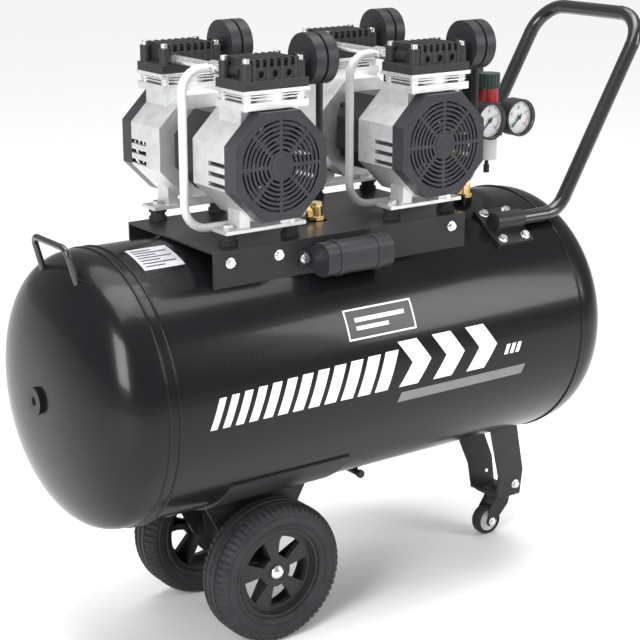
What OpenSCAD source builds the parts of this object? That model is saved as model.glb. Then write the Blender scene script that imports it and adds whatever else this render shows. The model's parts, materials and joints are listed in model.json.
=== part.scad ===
// Wheeled oil-free air compressor: receiver, two twin-cylinder pump units, controls, wheels and push handle.
// X runs along the receiver, Z is up. The origin is on the floor, under the middle of the whole outline.

/* [Receiver] */
// Outside diameter of the receiver
tank_d = 390; // [375:5:480]
// Length of the rolled shell between its two seams
tank_len = 732; // [700:10:900]
// Depth of each domed head
head_depth = 90; // [76:2:110]
// Wall thickness of shell and heads
tank_wall = 3; // [2.5:0.5:4]

/* [Wheels] */
// Outside diameter of a main tyre
wheel_d = 210; // [176:2:252]
// Width of a main tyre
tyre_w = 60; // [50:1:66]
// Distance between the outer faces of the two main tyres
track_w = 260; // [250:2:300]
// Distance of the wheel axle from the left seam
wheel_x = 218; // [170:2:260]
// Diameter of the wheel axle
axle_d = 16; // [12:1:20]
// Outside diameter of the caster wheel
caster_d = 50; // [42:1:60]
// Distance of the caster swivel axis from the left seam
caster_x = 742; // [700:2:760]

/* [Pump units] */
// Distance between the shafts of the two pump units
pump_pitch = 278; // [262:2:290]
// Distance of the left pump unit's shaft from the left seam
pump_x = 207; // [190:1:230]
// Crankcase size across its flats
case_af = 146; // [140:1:156]
// Distance between the front and rear cylinder axes
cyl_pitch = 210; // [196:2:220]
// Cylinder bore
bore_d = 60; // [50:0.5:63]
// Piston stroke
stroke = 16; // [10:1:18]
// Diameter of the motor shaft
shaft_d = 15; // [12:1:17]
// Length of a cylinder head along the receiver
head_l = 102; // [96:1:110]
// Diameter of an intake filter
filter_d = 70; // [56:1:76]
// Outside diameter of a discharge hose
hose_d = 12; // [9:0.5:13]

/* [Controls] */
// Outside diameter of a pressure gauge
gauge_d = 56; // [46:1:57]
// Diameter of the regulator knob
knob_d = 34; // [28:1:36]
// Width of the pressure switch along the receiver
switch_w = 62; // [52:1:66]

/* [Handle] */
// Outside diameter of the push handle tube
tube_d = 22; // [18:0.5:26]
// Distance between the two legs of the push handle
handle_w = 230; // [200:2:250]
// Angle of the handle legs above level
handle_lean = 59.5; // [50:0.5:75]
// Height of the handle bar above the receiver axis
handle_rise = 464; // [400:2:560]

/* [Hidden] */
$fn = 64;
run_fit = 0.03; // radial clearance of a shaft or pin that turns in its bore
black = [0.06, 0.06, 0.065];
gloss_black = [0.03, 0.03, 0.035];
alloy = [0.78, 0.79, 0.80];
steel = [0.70, 0.71, 0.73];
brass = [0.78, 0.62, 0.28];
rubber = [0.10, 0.10, 0.11];
grey_hose = [0.72, 0.73, 0.74];
clear = [0.85, 0.90, 0.92];

// Receiver
tank_r = tank_d / 2;
head_power = 2.5;
seam_lap = 20;
bead_r = 2;
bead_inset = 2.5;
boss_top = tank_r + 6;
end_port_r = 11;
end_boss_r = 19;
end_boss_out = 6;

// Main wheels: the tyres stand just clear of the saddle under the receiver
wheel_r = wheel_d / 2;
saddle_t = 3;
tyre_gap = 5;
tyre_in = track_w / 2 - tyre_w;
shoulder = 12;
axis_z = wheel_d + tyre_gap + sqrt(pow(tank_r + saddle_t, 2) - pow(tyre_in + shoulder, 2));
axle_z = wheel_r - axis_z;
rim_r = wheel_r * 0.648;
hub_r = 17;
hub_gap = 0.3;
wheel_mid = track_w / 2 - tyre_w / 2;
axle_head_y = track_w / 2 - 7;
axle_head_t = 9;
hub_out = axle_head_y - axle_head_t;
web_t = 4;
web_y = tyre_in - 8;
axle_boss_r = 18;

// Caster
caster_r = caster_d / 2;
caster_w = 20;
caster_trail = 24;
caster_h = caster_d + 23;
leg_plate_z = caster_h - axis_z;
leg_plate_t = 4;
leg_t = 4;
leg_top_y = 49;
leg_low_y = 30;
leg_bolt = [4, 22];
fork_t = 2.5;
caster_pin_r = 5;
caster_axle_r = 4;

// Pump units, in a frame with its origin on the shaft and Y along the shaft
pump_xs = [pump_x, pump_x + pump_pitch];
deck_t = 3;
deck_z = tank_r + 2;
deck_top = deck_z + deck_t;
mount_h = 17;
foot_t = 5;
pedestal_h = 15;
pedestal_w = 16;
case_r = case_af / 2;
pump_z = deck_top + mount_h + foot_t + pedestal_h + case_r;
cyl_y = cyl_pitch / 2;
case_in = cyl_y - 60;
case_out = cyl_y + 19;
grille_out = cyl_y + 45;
case_wall = 5;
neck_top = case_r + 7;
seat_z = case_r + 1;
flange_z = case_r + 2;
crown_t = 4;
barrel_top = seat_z + stroke + crown_t + 2;
plate_t = 5;
head_z = barrel_top + plate_t;
head_h = 41;
head_w = 70;
port_r = 5;
barrel_wall = 3;
barrel_r = bore_d / 2 + barrel_wall;
rod_hole_r = 12;
screw_x = head_l / 2 - 9;
screw_y = head_w / 2 - 8;
screw_r = 3;
throw = stroke / 2;
ecc_r = 13;
ring_in = ecc_r + 2 * throw + 1;
ring_out = ring_in + 6;
ring_t = 12;
crown_top = barrel_top - throw - 1;
bearing_r = 17.5;
bearing_t = 11;
rotor_r = 30.5;
stator_r = 31;
stator_af = 112;
foot_x = 50;
pedestal_x = foot_x - 9 - pedestal_w / 2;
foot_y = cyl_y - 10;
mount_r = 13;
stud_r = 4;
filter_x = head_l / 2 + 14;
filter_z = head_z + 31;
filter_l = 36;
snorkel_r = 5;
snorkel_x = filter_x + 28;
cross_x = -30;
cross_z = head_z + 20;
cross_r = 6;
hose_r = hose_d / 2;
hose_y = 38;
hose_out = -84;
valve_x = 134;
valve_port_z = boss_top + 11;
hose_low = valve_port_z - pump_z;
hose_top_bend = 30;
hose_low_bend = 36;
hose_start = cross_x - 14;
valve_r = 10;

// Deck
deck_front = 125;
deck_rear = 105;
deck_left = pump_x - 93;
deck_len = pump_pitch + 93 + 63;

// Capacitor box
box_x = pump_x + 119;
box_l = 112;
box_w = 150;
box_h = 46;
box_d = 43;
box_back = deck_front;
box_clear = 2.9;
box_z = sqrt(pow(tank_r, 2) - pow(box_back + 3, 2)) + box_h / 2 + box_clear;

// Controls
riser_x = pump_xs[1] + 141;
riser_y = -14;
block_z = tank_r + 123;
block_h = 27;
reg_x = riser_x + 18;
reg_y = -60;
reg_z = block_z - 22;
reg_h = 49;
band_h = 23;
knob_h = 22;
gauge_x = 29;
gauge_z = tank_r + 130;
gauge_t = 24;
collar_out = 19;
gauge_face = reg_y - collar_out - gauge_t;
switch_x = riser_x - 34;
switch_z = block_z + block_h;
switch_y = -38;
switch_d = 60;
switch_h = 53;
base_h = 16;
outlet_x = reg_x + 13;
outlet_z = block_z + block_h / 2;
tap_x = 436;

// Push handle
tube_r = tube_d / 2;
pad_t = 4;
bar_corner = 52;
knee_r = 45;
clamp_r = tank_r + pad_t + tube_r - 1;
clamp_tilt = asin(handle_w / 2 / clamp_r);
run_z = clamp_r * cos(clamp_tilt);
bar_x = tank_len + 181;
knee_x = bar_x - (handle_rise - run_z) / tan(handle_lean);
leg_l = (handle_rise - run_z) / sin(handle_lean);
knee_t = knee_r * tan(handle_lean / 2);
clamp_l = 68;
clamp_back = 103;
clamp_x = knee_x - clamp_back;
run_l = clamp_back + clamp_l / 2 - 4;
clamp_half = 37;
clamp_bolt = 27;
joint_gap = 0.3;
collar_l = 4;
collar_t = 0.3;

// Lifting handle
lift_r = 4.5;
lift_x = -62;
lift_z = tank_r + 20;
lift_y = 49;
lift_corner = 14;

left_end = -head_depth - end_boss_out;
right_end = bar_x + tube_r;
tank_left = -(left_end + right_end) / 2;

// Receiver radius, as a fraction, at a fraction of the head's depth
function dome_point(a, r, depth) = [r * pow(sin(a), 2 / head_power), depth * pow(cos(a), 2 / head_power)];
function dome(r, depth, steps) = [for (i = [0 : steps]) dome_point(90 * i / steps, r, depth)];
function reversed(list) = [for (i = [len(list) - 1 : -1 : 0]) list[i]];
function sector(r, a) = [[0, 0], [r * cos(a), -r * sin(a)], [1.2 * r, 0], [r * cos(a), r * sin(a)]];

// Everything below is placed from the left seam, on the receiver's axis
module on_tank() {
    translate([tank_left, 0, axis_z]) children();
}

module x_rod(x, length, r) {
    translate([x, 0, 0]) rotate([0, 90, 0]) cylinder(h = length, r = r);
}

module y_rod(y, length, r) {
    translate([0, y + length, 0]) rotate([90, 0, 0]) cylinder(h = length, r = r);
}

module y_ring(y, length, r_out, r_in) {
    difference() {
        y_rod(y, length, r_out);
        y_rod(y - 1, length + 2, r_in);
    }
}

module z_ring(z, h, r_out, r_in) {
    difference() {
        translate([0, 0, z]) cylinder(h = h, r = r_out);
        translate([0, 0, z - 1]) cylinder(h = h + 2, r = r_in);
    }
}

module y_prism(y, length, across) {
    translate([0, y + length, 0]) rotate([90, 0, 0]) linear_extrude(length) octagon(across);
}

module octagon(across) {
    rotate(22.5) circle(r = across / 2 / cos(22.5), $fn = 8);
}

module hex(h, across) {
    cylinder(h = h, r = across / 2 / cos(30), $fn = 6);
}

module block(size, at) {
    translate(at - [size[0] / 2, size[1] / 2, 0]) cube(size);
}

module seam_beads() {
    for (x = [bead_inset, seam_lap - bead_inset, tank_len - bead_inset])
        translate([x, 0, 0]) rotate([0, 90, 0]) rotate_extrude() translate([tank_r, 0]) circle(r = bead_r);
}

module tank_solid() {
    x_rod(-head_depth, tank_len + 2 * head_depth, tank_r, $fn = 256);
    x_rod(tank_len - bead_inset - bead_r - 0.5, 2 * bead_r + 1, tank_r + bead_r + 0.3, $fn = 256);
}

// A piece for the front cylinder and its mirror image for the rear one
module front_and_rear() {
    children();
    mirror([0, 1, 0]) children();
}

module at_pump(i) {
    translate([pump_xs[i], 0, pump_z]) children();
}

module both_pumps() {
    for (i = [0, 1]) at_pump(i) children();
}

// Bosses: [x, y] of each one on top of the receiver
top_bosses = [[pump_xs[0] + valve_x, -hose_y], [pump_xs[1] + valve_x, -hose_y], [riser_x, riser_y]];
top_boss_r = [13, 13, 11];

module boss_holes() {
    for (i = [0 : 2])
        translate([top_bosses[i][0], top_bosses[i][1], 0]) cylinder(h = tank_d, r = top_boss_r[i]);
    translate([tap_x, 0, -tank_d]) cylinder(h = tank_d, r = 14);
}

module tank_shell() {
    color(gloss_black) difference() {
        union() {
            x_rod(0, tank_len, tank_r);
            seam_beads();
        }
        x_rod(-1, tank_len + 2, tank_r - tank_wall);
        boss_holes();
    }
}

module head_shell(port_r) {
    outer = dome(tank_r, head_depth, 18);
    inner = dome(tank_r - 2 * tank_wall, head_depth - tank_wall, 18);
    lap = [[tank_r - tank_wall, 0], [tank_r - tank_wall, -seam_lap], [tank_r - 2 * tank_wall, -seam_lap]];
    difference() {
        rotate_extrude($fn = 96) polygon(concat(outer, lap, reversed(inner)));
        if (port_r > 0) cylinder(h = 2 * head_depth, r = port_r);
    }
}

module tank_heads() {
    color(gloss_black) {
        rotate([0, -90, 0]) head_shell(end_boss_r);
        translate([tank_len, 0, 0]) rotate([0, 90, 0]) head_shell(0);
    }
}

module tank_bosses() {
    color(gloss_black) {
        for (i = [0 : 2])
            translate([top_bosses[i][0], top_bosses[i][1], 0])
                z_ring(tank_r - 18, boss_top - tank_r + 18, top_boss_r[i], 7);
        translate([tap_x, 0, 0]) z_ring(-tank_r - 12, 18, 14, 7);
        translate([-head_depth - end_boss_out, 0, 0]) rotate([0, 90, 0])
            z_ring(0, end_boss_out + 8, end_boss_r, end_port_r);
    }
}

module tank_plug() {
    color(steel) translate([-head_depth - end_boss_out, 0, 0]) rotate([0, 90, 0]) difference() {
        cylinder(h = 12, r = end_port_r);
        translate([0, 0, -1]) hex(7, 12);
    }
}

module drain_valve() {
    color(brass) translate([tap_x, 0, -tank_r - 12]) {
        difference() {
            union() {
                cylinder(h = 14, r = 7);
                translate([0, 0, -8]) hex(8, 19);
                translate([0, 0, -11]) y_rod(-16, 24, 5);
            }
            translate([0, 0, -9]) cylinder(h = 30, r = 2);
            translate([0, 0, -11]) y_rod(-17, 12, 3 + run_fit);
        }
    }
}

module drain_tap() {
    color(brass) translate([tap_x, 0, -tank_r - 23]) {
        y_rod(-22, 15, 3);
        difference() {
            y_rod(-26, 6, 6.5);
            for (a = [0 : 45 : 315]) rotate([0, a, 0]) translate([0, 0, 7.3]) y_rod(-27, 8, 1.5);
        }
    }
}

module deck() {
    skirt = deck_front - 4;
    color(black) difference() {
        translate([deck_left, -deck_front, 0]) difference() {
            cube([deck_len, deck_front + deck_rear, deck_top]);
            translate([-1, deck_t, -1]) cube([deck_len + 2, deck_front + deck_rear - 2 * deck_t, deck_z + 1]);
        }
        tank_solid();
        translate([pump_xs[0] + valve_x, -hose_y, deck_z - 5]) cylinder(h = 20, r = 17);
        for (x = pump_xs, sx = [-1, 1], sy = [-1, 1])
            translate([x + sx * foot_x, sy * foot_y, deck_z - 5]) cylinder(h = 20, r = stud_r);
        for (x = [deck_left + 26, deck_left + 104, deck_left + deck_len - 26])
            translate([x, 0, tank_r - 12]) y_rod(-deck_front - 5, 12, 3);
        for (sx = [-1, 1])
            translate([box_x + sx * (box_w / 2 - 8), 0, box_z]) y_rod(-deck_front - 5, 12, 3);
    }
}

module mounts() {
    for (x = pump_xs, sx = [-1, 1], sy = [-1, 1])
        translate([x + sx * foot_x, sy * foot_y, deck_top]) children();
}

module rubber_mounts() {
    color(rubber) mounts() difference() {
        union() {
            cylinder(h = 5, r = mount_r);
            cylinder(h = mount_h, r = mount_r - 2.5);
            translate([0, 0, mount_h - 5]) cylinder(h = 5, r = mount_r);
        }
        translate([0, 0, -1]) cylinder(h = mount_h + 2, r = stud_r);
    }
}

module mount_bolts() {
    color(steel) mounts() {
        translate([0, 0, mount_h + foot_t]) hex(5.5, 13);
        translate([0, 0, -deck_t - 9]) cylinder(h = mount_h + foot_t + deck_t + 9, r = stud_r);
        translate([0, 0, -deck_t - 6.5]) difference() {
            hex(6.5, 13);
            translate([0, 0, -1]) cylinder(h = 9, r = stud_r);
        }
    }
}

module stators() {
    color(black) both_pumps() difference() {
        union() {
            y_prism(-32, 64, stator_af);
            y_rod(-case_in, 2 * case_in, 46);
            for (a = [45 : 90 : 315]) rotate([0, a, 0]) translate([52, 0, 0]) y_rod(-case_in, 2 * case_in, 4);
        }
        y_rod(-case_in - 1, 2 * case_in + 2, stator_r);
    }
}

module crankcase() {
    difference() {
        union() {
            y_prism(-case_out, case_out - case_in, case_af);
            block([head_l - 8, case_out - cyl_y + head_w / 2, neck_top - case_r + 20],
                [0, -(case_out + cyl_y - head_w / 2) / 2, case_r - 20]);
            block([head_l, head_w, neck_top - flange_z], [0, -cyl_y, flange_z]);
            for (sx = [-1, 1]) 
                block([pedestal_w, 30, pedestal_h + 14], [sx * pedestal_x, -foot_y, -case_r - pedestal_h]);
            block([2 * foot_x + 30, 36, foot_t], [0, -foot_y, -case_r - pedestal_h - foot_t]);
        }
        difference() {
            y_prism(-case_out - 1, case_out - case_in - case_wall + 1, case_af - 2 * case_wall);
            y_rod(-case_in - case_wall - 10, 11, bearing_r + 6);
        }
        y_rod(-case_in - 16, 16 - case_wall + 3, bearing_r);
        y_rod(-case_in - 3, 4, bearing_r - 5);
        translate([0, -cyl_y, seat_z]) cylinder(h = 60, r = barrel_r);
        translate([0, -cyl_y, case_r - 30]) cylinder(h = 60, r = rod_hole_r);
        for (sx = [-1, 1]) translate([sx * foot_x, -foot_y, -case_r - pedestal_h - foot_t - 1])
            cylinder(h = foot_t + 2, r = stud_r);
        head_bolts(screw_r);
        for (sx = [-1, 1]) translate([0, -cyl_y, -6]) x_slot(sx);
    }
}

// Cooling slots in the sides of a crankcase
module x_slot(side) {
    for (z = [-22, -8, 6]) block([16, 44, 6], [side * case_r, 0, z]);
}

module head_bolts(r) {
    for (sx = [-1, 1], sy = [-1, 1])
        translate([sx * screw_x, -cyl_y + sy * screw_y, neck_top - 7])
            cylinder(h = head_z + 50 - neck_top, r = r);
}

module crankcases() {
    color(alloy) both_pumps() front_and_rear() crankcase();
}

module bearings() {
    color(steel) both_pumps() front_and_rear()
        y_ring(-case_in - 2 - bearing_t, bearing_t, bearing_r, shaft_d / 2 + run_fit);
}

module cylinders() {
    color(alloy) both_pumps() front_and_rear() difference() {
        union() {
            translate([0, -cyl_y, seat_z]) cylinder(h = barrel_top - seat_z, r = barrel_r);
            block([head_l, head_w, 5], [0, -cyl_y, neck_top]);
            for (z = [4, 8]) block([head_l - 6, head_w - 6, 2], [0, -cyl_y, barrel_top - z]);
            for (sx = [-1, 1], sy = [-1, 1]) translate([sx * screw_x, -cyl_y + sy * screw_y, neck_top])
                cylinder(h = barrel_top - neck_top, r = 6);
        }
        translate([0, -cyl_y, 0]) cylinder(h = 200, r = bore_d / 2);
        head_bolts(screw_r);
    }
}

module valve_plates() {
    color(alloy) both_pumps() front_and_rear() difference() {
        block([head_l + 4, head_w + 2, plate_t], [0, -cyl_y, barrel_top]);
        for (x = [-14, 14]) translate([x, -cyl_y, barrel_top - 1]) cylinder(h = plate_t + 2, r = 5);
        head_bolts(screw_r);
    }
}

module cylinder_head() {
    difference() {
        union() {
            block([head_l, head_w, 12], [0, -cyl_y, head_z]);
            block([62, 52, 24], [0, -cyl_y, head_z + 11]);
            for (i = [-3 : 3]) block([4, head_w - 4, head_h - 12], [11 * i, -cyl_y, head_z + 11]);
            for (sx = [-1, 1], sy = [-1, 1]) translate([sx * screw_x, -cyl_y + sy * screw_y, head_z + 11])
                cylinder(h = head_h - 17, r = 7.5);
            for (sy = [-1, 1]) block([head_l - 8, 3, 18], [0, -cyl_y + sy * 30, head_z + 11]);
            translate([cross_x, 0, cross_z]) y_rod(-cyl_y, head_w / 2, 9);
        }
        for (x = [-16, 16]) block([26, 40, 16], [x, -cyl_y, head_z - 1]);
        translate([cross_x, 0, cross_z]) y_rod(-cyl_y + 24, head_w, cross_r);
        for (x = [-22, 0, 22]) translate([x, 0, head_z + 20]) y_rod(-cyl_y - 40, 13, port_r);
        head_bolts(screw_r);
    }
}

module cylinder_heads() {
    color(black) both_pumps() front_and_rear() cylinder_head();
}

module head_screws() {
    top = head_z + head_h - 6;
    color(steel) both_pumps() front_and_rear() for (sx = [-1, 1], sy = [-1, 1])
        translate([sx * screw_x, -cyl_y + sy * screw_y, 0]) {
            translate([0, 0, neck_top - 7]) cylinder(h = top - neck_top + 7, r = screw_r);
            difference() {
                translate([0, 0, top]) cylinder(h = 6, r = 5);
                translate([0, 0, top + 3]) hex(4, 5);
            }
        }
}

module intake_filter() {
    translate([0, -cyl_y, 0]) {
        translate([0, 0, filter_z]) {
            x_rod(head_l / 2, 16, 10);
            x_rod(filter_x, 16, filter_d / 2);
            x_rod(filter_x + 3, filter_l - 6, filter_d / 2 - 4);
            x_rod(filter_x + filter_l - 16, 16, filter_d / 2);
            x_rod(filter_x + filter_l - 1, 4, filter_d / 2 - 9);
        }
        translate([snorkel_x, 0, 8]) cylinder(h = filter_z - 20, r = snorkel_r);
        translate([0, 0, 14]) x_rod(case_r, snorkel_x - case_r, snorkel_r);
    }
}

module intake_filters() {
    color(black) both_pumps() front_and_rear() intake_filter();
}

// Fan grille face: concentric slots crossed by spokes
module grille_face() {
    difference() {
        octagon(case_af);
        difference() {
            for (r = [22 : 6.4 : 62]) difference() {
                circle(r = r + 1.7);
                circle(r = r - 1.7);
            }
            for (a = [0 : 45 : 135]) rotate(a) square([case_af, 4.5], center = true);
        }
    }
}

module fan_grille() {
    difference() {
        y_prism(-grille_out + 3, grille_out - case_out - 3, case_af);
        y_prism(-grille_out, grille_out - case_out + 1, case_af - 6);
    }
    translate([0, -grille_out + 3, 0]) rotate([90, 0, 0]) linear_extrude(3) grille_face();
    y_rod(-grille_out - 1.5, 2, 15);
}

module fan_grilles() {
    color(black) both_pumps() front_and_rear() fan_grille();
}

module crossover_pipes() {
    color(alloy) both_pumps() translate([cross_x, 0, cross_z]) {
        y_ring(-cyl_y + 24, cyl_pitch - 48, cross_r, cross_r - 1.5);
        difference() {
            union() {
                y_ring(-hose_y - 9, 18, cross_r + 3, cross_r);
                translate([0, -hose_y, 0]) x_rod(-14, 8.5, 5);
            }
            translate([0, -hose_y, 0]) x_rod(-15, 14, 2.5);
        }
    }
}

module hose_bend(bend_r, start, sweep) {
    rotate([90, 0, 0]) rotate([0, 0, start])
        rotate_extrude(angle = sweep) translate([bend_r, 0]) circle(r = hose_r);
}

module discharge_hoses() {
    up = cross_z - hose_top_bend;
    down = hose_low + hose_low_bend;
    color(grey_hose) both_pumps() translate([0, -hose_y, 0]) {
        translate([0, 0, cross_z])
            x_rod(hose_out + hose_top_bend, hose_start - hose_out - hose_top_bend, hose_r);
        translate([hose_out + hose_top_bend, 0, up]) hose_bend(hose_top_bend, 90, 90);
        translate([hose_out, 0, down]) cylinder(h = up - down, r = hose_r);
        translate([hose_out + hose_low_bend, 0, down]) hose_bend(hose_low_bend, 180, 90);
        translate([0, 0, hose_low])
            x_rod(hose_out + hose_low_bend, valve_x - 22 - hose_out - hose_low_bend, hose_r);
    }
}

module check_valves() {
    color(brass) for (x = pump_xs) translate([x + valve_x, -hose_y, boss_top]) {
        translate([0, 0, -12]) cylinder(h = 12, r = 7);
        hex(5, 22);
        translate([0, 0, 4]) cylinder(h = 16, r = valve_r);
        translate([0, 0, 19]) hex(6, 17);
        translate([0, 0, valve_port_z - boss_top]) {
            x_rod(-22, 14, 5);
            translate([-19, 0, 0]) rotate([0, 90, 0]) hex(8, 17);
        }
    }
}

module rotor() {
    y_rod(-grille_out + 5, 2 * grille_out - 10, shaft_d / 2);
    y_rod(-38, 76, rotor_r);
    for (s = [-1, 1]) translate([-s * throw, 0, 0]) y_rod(s * cyl_y - 7, 14, ecc_r);
}

module left_rotor() {
    color(steel) at_pump(0) rotor();
}

module right_rotor() {
    color(steel) at_pump(1) rotor();
}

module fan() {
    difference() {
        union() {
            y_rod(-grille_out + 6, 18, 14);
            for (a = [0 : 360 / 7 : 359]) rotate([0, a, 0])
                translate([11, -grille_out + 15, 0]) rotate([35, 0, 0])
                    translate([0, -1.1, -11]) cube([49, 2.2, 22]);
        }
        y_rod(-grille_out, 30, shaft_d / 2);
    }
}

module left_fans() {
    color(black) at_pump(0) front_and_rear() fan();
}

module right_fans() {
    color(black) at_pump(1) front_and_rear() fan();
}

module piston() {
    color(alloy) translate([0, -cyl_y, 0]) {
        translate([0, 0, crown_top - crown_t]) cylinder(h = crown_t, r = bore_d / 2 - 0.05);
        block([14, 9, crown_top - crown_t - ring_in - 2], [0, 0, ring_in + 3]);
        y_ring(-ring_t / 2, ring_t, ring_out, ring_in);
    }
}

module left_front_piston() {
    at_pump(0) piston();
}

module left_rear_piston() {
    at_pump(0) mirror([0, 1, 0]) piston();
}

module right_front_piston() {
    at_pump(1) piston();
}

module right_rear_piston() {
    at_pump(1) mirror([0, 1, 0]) piston();
}

// Outline with corners rounded by short flats
function rounded(w, h, r) = [for (q = [0 : 3], i = [0 : 5])
    let (a = 90 * q + 18 * i, sx = (q == 0 || q == 3) ? 1 : -1, sy = q < 2 ? 1 : -1)
    [sx * (w / 2 - r) + r * cos(a), sy * (h / 2 - r) + r * sin(a)]];

module capacitor_box() {
    color(black) translate([box_x, -box_back, box_z]) difference() {
        union() {
            translate([-box_l / 2, -box_d / 2 - 3, 0]) rotate([90, 0, 90])
                linear_extrude(box_l) polygon(rounded(box_d, box_h, 17));
            for (sx = [-1, 1]) translate([sx * 32 - 3, -box_d / 2 - 3, 0]) rotate([90, 0, 90])
                linear_extrude(6) polygon(rounded(box_d + 3, box_h + 3, 18));
            translate([-box_w / 2, -3, -12]) cube([box_w, 3, 24]);
            translate([-box_l / 2, -22, -14]) cube([box_l, 22, 28]);
        }
        for (sx = [-1, 1]) translate([sx * (box_w / 2 - 8), 0, 0]) y_rod(-5, 6, 3);
    }
}

// Plate that follows the underside of the receiver, between two angles from straight down
module saddle(x, length, from, to, t) {
    translate([x, 0, 0]) rotate([0, 90, 0]) rotate([0, 0, -to]) rotate_extrude(angle = to - from)
        translate([tank_r, 0]) square([t, length]);
}

module wheel_bracket() {
    saddle(wheel_x - 100, 200, asin((web_y - 24) / tank_r), 52, saddle_t);
    difference() {
        union() {
            translate([wheel_x, -web_y + web_t, 0]) rotate([90, 0, 0]) linear_extrude(web_t)
                polygon([[-88, 0], [88, 0], [88, -tank_r + 8],
                    [30, axle_z], [-30, axle_z], [-88, -tank_r + 8]]);
            translate([wheel_x, -web_y + web_t + 20, 0]) rotate([90, 0, 0]) linear_extrude(web_t)
                polygon([[-60, 0], [60, 0], [24, axle_z], [-24, axle_z]]);
            translate([wheel_x, 0, axle_z]) y_rod(-web_y, 24, axle_boss_r + 12);
        }
        tank_solid();
        translate([wheel_x, 0, axle_z]) y_rod(-web_y - 10, 60, axle_d / 2);
    }
}

module wheel_brackets() {
    color(black) front_and_rear() wheel_bracket();
}

module wheel_axles() {
    color(steel) front_and_rear() translate([wheel_x, 0, axle_z]) {
        y_rod(-hub_out - 1, hub_out + 1 - web_y + 30, axle_d / 2);
        intersection() {
            y_rod(-axle_head_y, axle_head_t, 11);
            translate([0, -hub_out + 5, 0]) sphere(r = 14);
        }
        translate([0, -web_y + 24, 0]) rotate([-90, 0, 0]) difference() {
            hex(8, 24);
            translate([0, 0, -1]) cylinder(h = 10, r = axle_d / 2);
        }
    }
}

module wheel() {
    y_ring(-hub_out + hub_gap, hub_out - web_y - 2 * hub_gap, hub_r, axle_d / 2 + run_fit);
    y_ring(-wheel_mid - 23, 46, rim_r, rim_r - 5);
    difference() {
        y_ring(-wheel_mid - 14, 9, rim_r - 4, hub_r - 1);
        for (a = [0 : 72 : 288]) rotate([0, a + 10, 0]) wheel_opening();
    }
    for (a = [0 : 72 : 288]) rotate([0, a + 46, 0]) block([rim_r - hub_r - 2, 22, 4],
        [(rim_r + hub_r) / 2 - 1, -wheel_mid + 4, -2]);
}

module wheel_opening() {
    translate([0, -wheel_mid + 10, 0]) rotate([90, 0, 0]) linear_extrude(40) intersection() {
        difference() {
            circle(r = rim_r - 14);
            circle(r = hub_r + 6);
        }
        polygon(sector(2 * rim_r, 21));
    }
}

module tyre() {
    half = tyre_w / 2;
    profile = [[rim_r, half - 4], [rim_r + 5, half - 0.7], [rim_r + 14, half], [wheel_r - 10, half - 1],
        [wheel_r - 4, half - 5], [wheel_r - 1, half - shoulder], [wheel_r, half - shoulder - 6]];
    lower = [for (p = reversed(profile)) [p[0], -p[1]]];
    translate([0, -wheel_mid, 0]) rotate([90, 0, 0]) rotate_extrude($fn = 96) polygon(concat(profile, lower));
}

module at_wheel() {
    translate([wheel_x, 0, axle_z]) children();
}

module front_wheel() {
    color(black) at_wheel() wheel();
}

module front_tyre() {
    color(rubber) at_wheel() tyre();
}

module rear_wheel() {
    color(black) at_wheel() mirror([0, 1, 0]) wheel();
}

module rear_tyre() {
    color(rubber) at_wheel() mirror([0, 1, 0]) tyre();
}

module on_arm() {
    tilt = atan((leg_top_y - leg_low_y) / (-leg_plate_z - tank_r));
    translate([caster_x, -leg_low_y, leg_plate_z]) rotate([tilt + 90, 0, 0]) children();
}

// One sloping arm of the caster leg, tilted inwards to the plate below
module leg_arm() {
    drop = -leg_plate_z - tank_r;
    on_arm() linear_extrude(leg_t) difference() {
        polygon([[-74, drop + 30], [-18, drop + 30], [18, 46], [19, 0], [-30, 0], [-33, 42]]);
        translate(leg_bolt) circle(r = 3);
    }
}

module caster_leg() {
    color(black) difference() {
        union() {
            front_and_rear() leg_arm();
            block([49, 64, leg_plate_t], [caster_x - 5.5, 0, leg_plate_z]);
        }
        tank_solid();
        translate([caster_x, 0, leg_plate_z - 1]) cylinder(h = 10, r = caster_pin_r);
    }
}

module caster_plate() {
    color(black) translate([caster_x, 0, leg_plate_z]) {
        block([46, 46, 3], [-4, 0, -3]);
        difference() {
            translate([0, 0, -9]) cylinder(h = 6.5, r = 17);
            translate([0, 0, -10]) cylinder(h = 4, r = 13);
        }
        translate([0, 0, -19]) cylinder(h = 28, r = caster_pin_r);
        translate([0, 0, -19]) hex(4, 14);
        translate([0, 0, leg_plate_t]) hex(5, 16);
    }
}

module caster_fork() {
    top = -9.4;
    axle = -caster_h + caster_r;
    inner = caster_w / 2 + 1.5;
    color(black) translate([caster_x, 0, leg_plate_z]) difference() {
        union() {
            translate([0, 0, top - 4]) cylinder(h = 4, r = 18);
            for (s = [0, 1]) mirror([0, s, 0]) translate([0, inner + fork_t, top - 4]) rotate([90, 0, 0])
                linear_extrude(fork_t) polygon([[-16, 4], [15, 4], [12, -10], [-caster_trail + 8, axle - top],
                    [-caster_trail - 8, axle - top], [-caster_trail - 4, -14]]);
            translate([-caster_trail, 0, axle]) y_rod(-inner - fork_t, fork_t, 9);
            translate([-caster_trail, 0, axle]) y_rod(inner, fork_t, 9);
        }
        translate([0, 0, top - 5]) cylinder(h = 6, r = caster_pin_r + run_fit);
        translate([-caster_trail, 0, axle]) y_rod(-30, 60, caster_axle_r);
    }
}

module at_caster_axle() {
    translate([caster_x - caster_trail, 0, leg_plate_z - caster_h + caster_r]) children();
}

module caster_axle() {
    side = caster_w / 2 + 1.5 + fork_t;
    color(steel) at_caster_axle() {
        y_rod(-side - 5, 2 * side + 8, caster_axle_r);
        translate([0, -side, 0]) rotate([90, 0, 0]) hex(3, 13);
        translate([0, side, 0]) rotate([-90, 0, 0]) difference() {
            hex(6, 13);
            translate([0, 0, -1]) cylinder(h = 8, r = caster_axle_r);
        }
    }
}

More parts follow.
